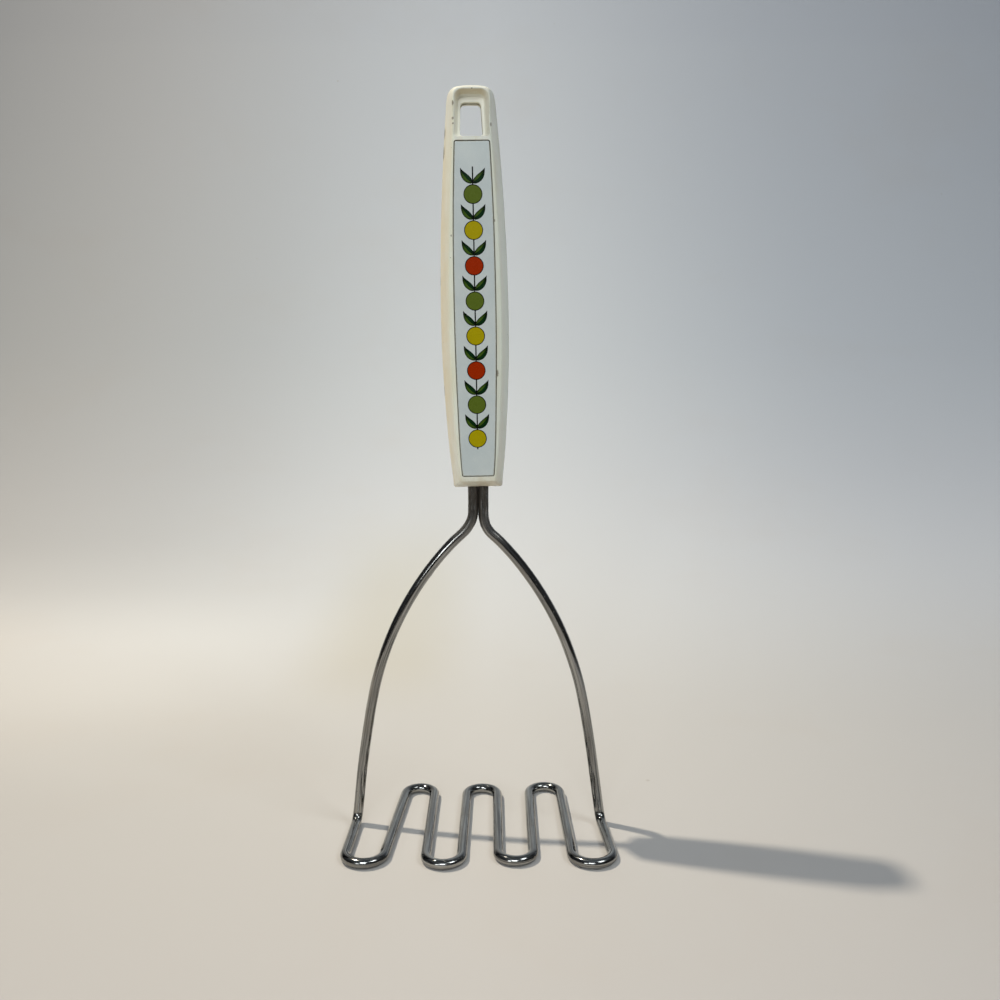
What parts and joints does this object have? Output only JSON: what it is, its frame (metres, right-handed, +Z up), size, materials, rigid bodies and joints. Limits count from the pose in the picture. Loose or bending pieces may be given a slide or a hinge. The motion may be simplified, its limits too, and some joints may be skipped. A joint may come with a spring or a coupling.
{
  "type": "potato masher",
  "caption": "Hand potato masher: one bent steel wire with a flat serpentine head and two legs, in a hollow plastic handle with a printed fruit plaque and a hang hole.",
  "frame": {"origin": "middle of the bounding box, on the plane that the head stands on", "axes": "+Z up along the handle, -Y the side that the plaque faces, +X to the right of someone who looks at the plaque"},
  "size_m": [0.1048, 0.0696, 0.2839],
  "materials": {
    "wire_chrome": "worn bright plating, small pits",
    "handle_plastic": "aged satin moulded plastic, cream",
    "plaque": "printed gloss plate, cool white"
  },
  "bodies": {
    "root": {"masher_wire": "wire_chrome", "handle_front_shell": "handle_plastic", "handle_back_shell": "handle_plastic", "inlay_plaque": "plaque"}
  },
  "joints": []
}
